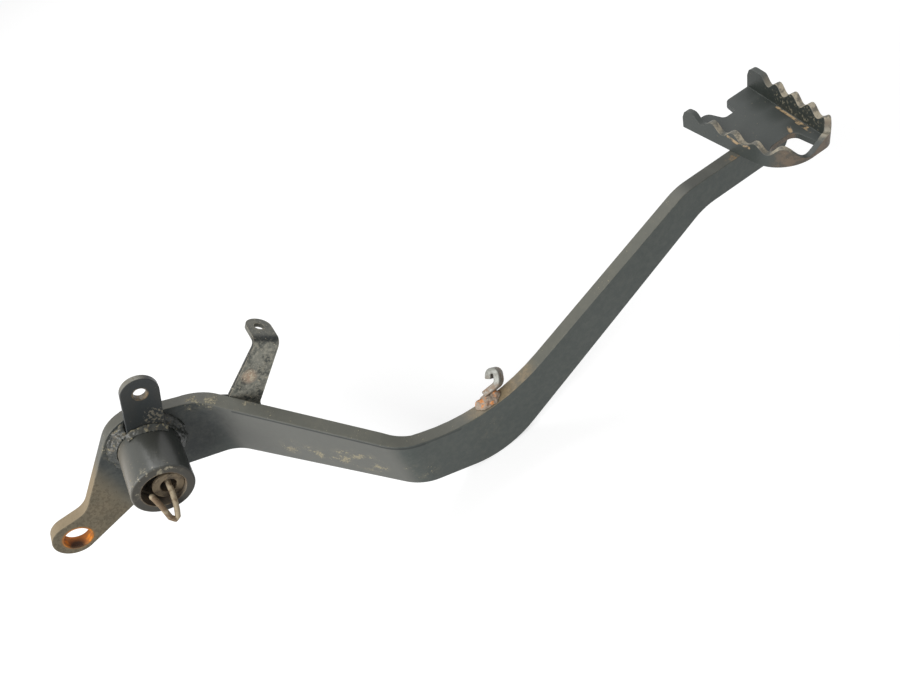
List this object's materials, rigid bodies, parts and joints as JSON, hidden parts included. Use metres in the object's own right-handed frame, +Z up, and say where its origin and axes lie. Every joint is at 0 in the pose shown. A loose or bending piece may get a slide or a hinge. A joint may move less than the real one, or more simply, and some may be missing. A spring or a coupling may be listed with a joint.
{
  "type": "rear brake pedal",
  "caption": "Used rear brake pedal of a motorbike: a cranked pressed steel arm on a pivot tube, with a toothed foot pad and a rod lever.",
  "frame": {"origin": "on the pivot axis, midway through the thickness of the arm's eye", "axes": "+X forward from the pivot to the foot pad, +Y along the pivot axis from the outboard end to the inboard end, +Z up from the pad's tread"},
  "size_m": [0.3763, 0.0921, 0.1157],
  "materials": {
    "arm_paint": "satin black paint, chipped and dusty",
    "tube_paint": "satin black paint, chipped",
    "pad_paint": "satin black paint, worn to bare steel on its teeth",
    "tab_paint": "satin black paint",
    "bracket_paint": "satin black paint, dusty with rust spots",
    "hook_steel": "dull zinc",
    "washer_rust": "rusty",
    "pin_rust": "rusty",
    "weld_paint": "rough painted weld",
    "weld_rust": "rusty weld"
  },
  "bodies": {
    "root": {"arm": "arm_paint", "pivot_tube": "tube_paint", "foot_pad": "pad_paint", "spring_tab": "tab_paint", "switch_bracket": "bracket_paint", "spring_hook": "hook_steel", "pivot_washer": "washer_rust", "split_pin": "pin_rust", "tube_weld": "weld_paint", "tab_weld": "weld_paint", "bracket_weld": "weld_paint", "hook_weld": "weld_rust", "pad_weld": "weld_paint"}
  },
  "joints": []
}
